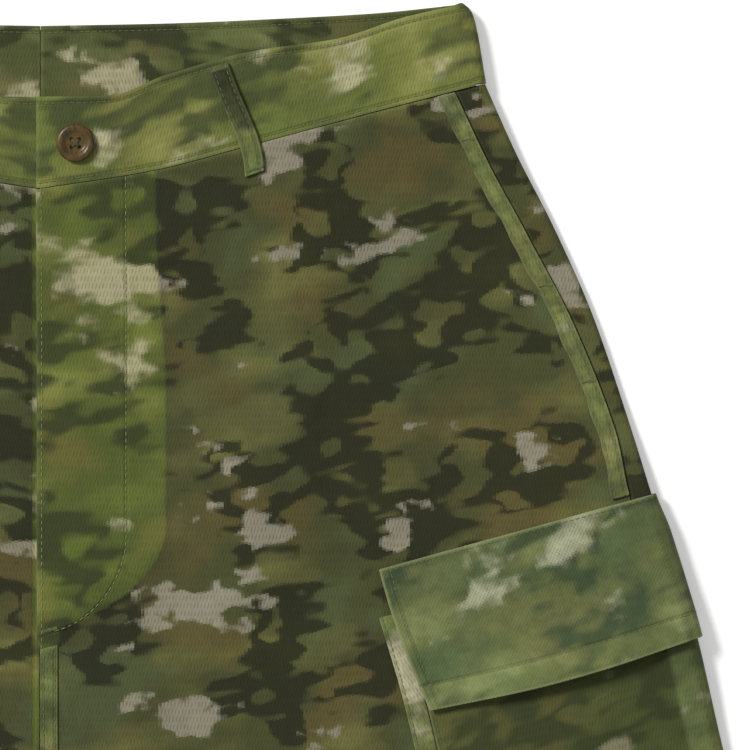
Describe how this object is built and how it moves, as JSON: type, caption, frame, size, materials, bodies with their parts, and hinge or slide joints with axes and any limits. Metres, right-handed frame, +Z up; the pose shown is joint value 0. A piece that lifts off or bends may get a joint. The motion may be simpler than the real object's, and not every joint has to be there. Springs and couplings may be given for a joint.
{
  "type": "cargo shorts",
  "caption": "Camouflage mesh-cloth cargo shorts, buttoned and laid flat: dipped front waistband, belt loops, J-stitched fly, side bands and flapped cargo pockets round the side folds.",
  "frame": {"origin": "middle of the bounding box on the surface that the garment lies on", "axes": "+X towards the wearer's left, +Y from the hems to the waist, +Z up off the surface; the front of the garment faces +Z"},
  "size_m": [0.7108, 0.5642, 0.012],
  "materials": {
    "body_cloth": "one layer of camouflage mesh cloth, matt",
    "doubled_cloth": "two layers of camouflage mesh cloth, lighter and greener, matt",
    "button": "brown horn-like plastic, satin"
  },
  "bodies": {
    "root": {"front_left": "body_cloth", "back_left": "body_cloth", "cargo_pocket_left": "body_cloth", "waistband_left": "doubled_cloth", "side_band_left": "doubled_cloth", "cargo_gusset_front_left": "doubled_cloth", "cargo_gusset_back_left": "doubled_cloth", "cargo_flap_left": "doubled_cloth", "belt_loop_front_left": "doubled_cloth", "belt_loop_back_left": "doubled_cloth", "front_right": "body_cloth", "back_right": "body_cloth", "cargo_pocket_right": "body_cloth", "waistband_right": "doubled_cloth", "side_band_right": "doubled_cloth", "cargo_gusset_front_right": "doubled_cloth", "cargo_gusset_back_right": "doubled_cloth", "cargo_flap_right": "doubled_cloth", "belt_loop_front_right": "doubled_cloth", "belt_loop_back_right": "doubled_cloth", "belt_loop_centre": "doubled_cloth", "fly_shield": "doubled_cloth", "fly_facing": "doubled_cloth", "rise_band": "doubled_cloth", "waist_button": "button"}
  },
  "joints": []
}
